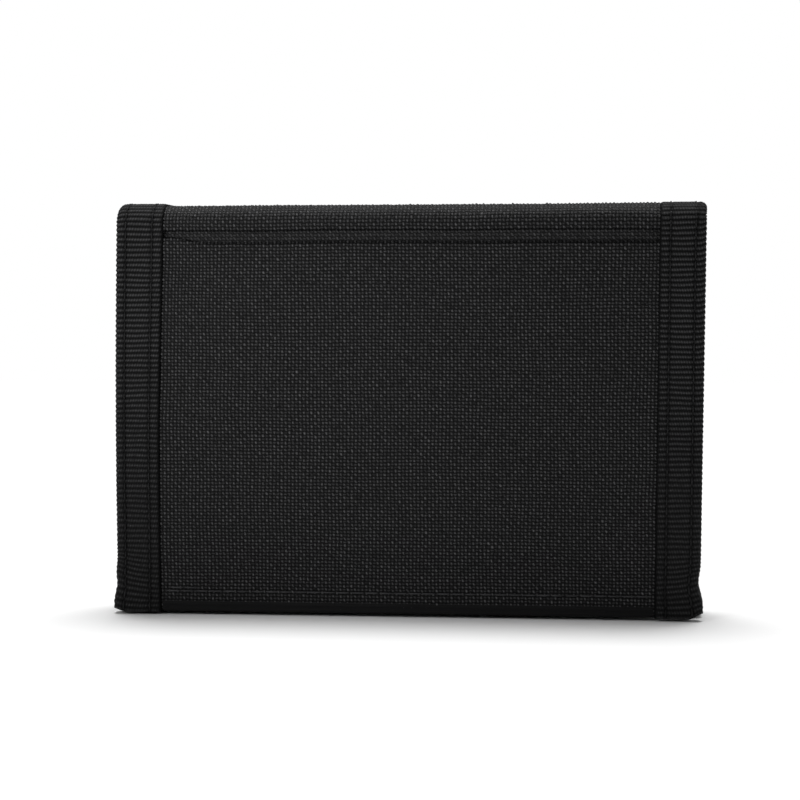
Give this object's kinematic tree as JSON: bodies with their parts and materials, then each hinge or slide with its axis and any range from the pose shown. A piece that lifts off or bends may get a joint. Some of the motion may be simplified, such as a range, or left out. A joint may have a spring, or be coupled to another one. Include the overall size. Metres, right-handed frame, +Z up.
{
  "type": "trifold wallet",
  "caption": "Trifold nylon wallet, closed and standing on its bottom fold: flaps that open, card and bill pockets, clear card window, zipped coin pocket.",
  "frame": {"origin": "middle of the footprint, on the surface that the closed wallet stands on", "axes": "+X along the fold lines, +Y through the thickness towards the back panel (the front flap faces -Y), +Z up from the bottom fold to the top fold"},
  "size_m": [0.127, 0.019, 0.089],
  "materials": {
    "shell_nylon": "coarse plain-weave black nylon, slight gloss on the yarns",
    "lining_nylon": "thin, fine, smooth black nylon",
    "binding_tape": "ribbed black grosgrain tape, matte",
    "hem_nylon": "smooth black nylon binding",
    "stiffener_plastic": "dark plastic sheet, hidden",
    "window_film": "clear flexible film",
    "hook_tape": "black hook side of a hook-and-loop fastener",
    "loop_tape": "black fluffy loop side of a hook-and-loop fastener",
    "zip_tape": "black woven zip tape",
    "zip_coil": "black nylon zip coil",
    "zip_metal": "dark nickel finish"
  },
  "bodies": {
    "back_panel": {"back_shell": "shell_nylon", "back_stiffener": "stiffener_plastic", "back_lining": "lining_nylon", "bill_divider": "lining_nylon", "back_binding_left": "binding_tape", "back_binding_right": "binding_tape", "bill_divider_binding": "hem_nylon", "card_pocket_1": "lining_nylon", "card_pocket_1_hem": "hem_nylon", "card_pocket_2": "lining_nylon", "card_pocket_2_hem": "hem_nylon", "card_pocket_3": "lining_nylon", "card_pocket_3_hem": "hem_nylon", "bottom_fold_shell": "shell_nylon", "bottom_fold_lining": "lining_nylon", "bottom_fold_binding_left": "binding_tape", "bottom_fold_binding_right": "binding_tape"},
    "top_fold": {"top_fold_shell": "shell_nylon", "top_fold_lining": "lining_nylon", "top_fold_binding_left": "binding_tape", "top_fold_binding_right": "binding_tape"},
    "front_flap": {"front_flap_shell": "shell_nylon", "front_flap_stiffener": "stiffener_plastic", "front_flap_lining": "lining_nylon", "front_flap_binding_left": "binding_tape", "front_flap_binding_right": "binding_tape", "front_flap_lining_binding": "hem_nylon", "front_flap_end_binding": "hem_nylon", "coin_pocket_lower_panel": "lining_nylon", "coin_pocket_upper_panel": "lining_nylon", "zip_tape_lower": "zip_tape", "zip_tape_upper": "zip_tape", "zip_coil_lower": "zip_coil", "zip_coil_upper": "zip_coil", "zip_stop_closed_end": "zip_metal", "zip_stop_open_end": "zip_metal", "hook_strip": "hook_tape"},
    "inner_flap": {"inner_flap_shell": "shell_nylon", "inner_flap_lining": "lining_nylon", "inner_flap_binding_left": "binding_tape", "inner_flap_binding_right": "binding_tape", "inner_flap_end_binding": "hem_nylon", "id_window": "window_film", "id_window_frame": "hem_nylon", "loop_strip": "loop_tape"},
    "zip_slider": {"zip_slider": "zip_metal"},
    "zip_pull": {"zip_pull_tab": "zip_metal"}
  },
  "joints": [
    {"name": "top_fold_back_crease", "type": "hinge", "parent": "back_panel", "child": "top_fold", "pos_m": [0, 0.00843, 0.08793], "axis": [-1, 0, 0], "range_deg": [0, 90]},
    {"name": "top_fold_front_crease", "type": "hinge", "parent": "top_fold", "child": "front_flap", "pos_m": [0, -0.00843, 0.08793], "axis": [-1, 0, 0], "range_deg": [0, 90]},
    {"name": "inner_flap_crease", "type": "hinge", "parent": "back_panel", "child": "inner_flap", "pos_m": [0, -0.00273, 0.00032], "axis": [1, 0, 0], "range_deg": [0, 85]},
    {"name": "zip_slide", "type": "slide", "parent": "front_flap", "child": "zip_slider", "axis": [-1, 0, 0], "range_m": [0, 0.076]},
    {"name": "zip_pull_swing", "type": "hinge", "parent": "zip_slider", "child": "zip_pull", "pos_m": [0.04, -0.00105, 0.076], "axis": [0, 0, -1], "range_deg": [0, 18]}
  ],
  "couplings": [
    {"joint": "top_fold_front_crease", "follows": "top_fold_back_crease", "ratio": 1},
    {"joint": "inner_flap_crease", "follows": "top_fold_back_crease", "ratio": 0.944}
  ]
}
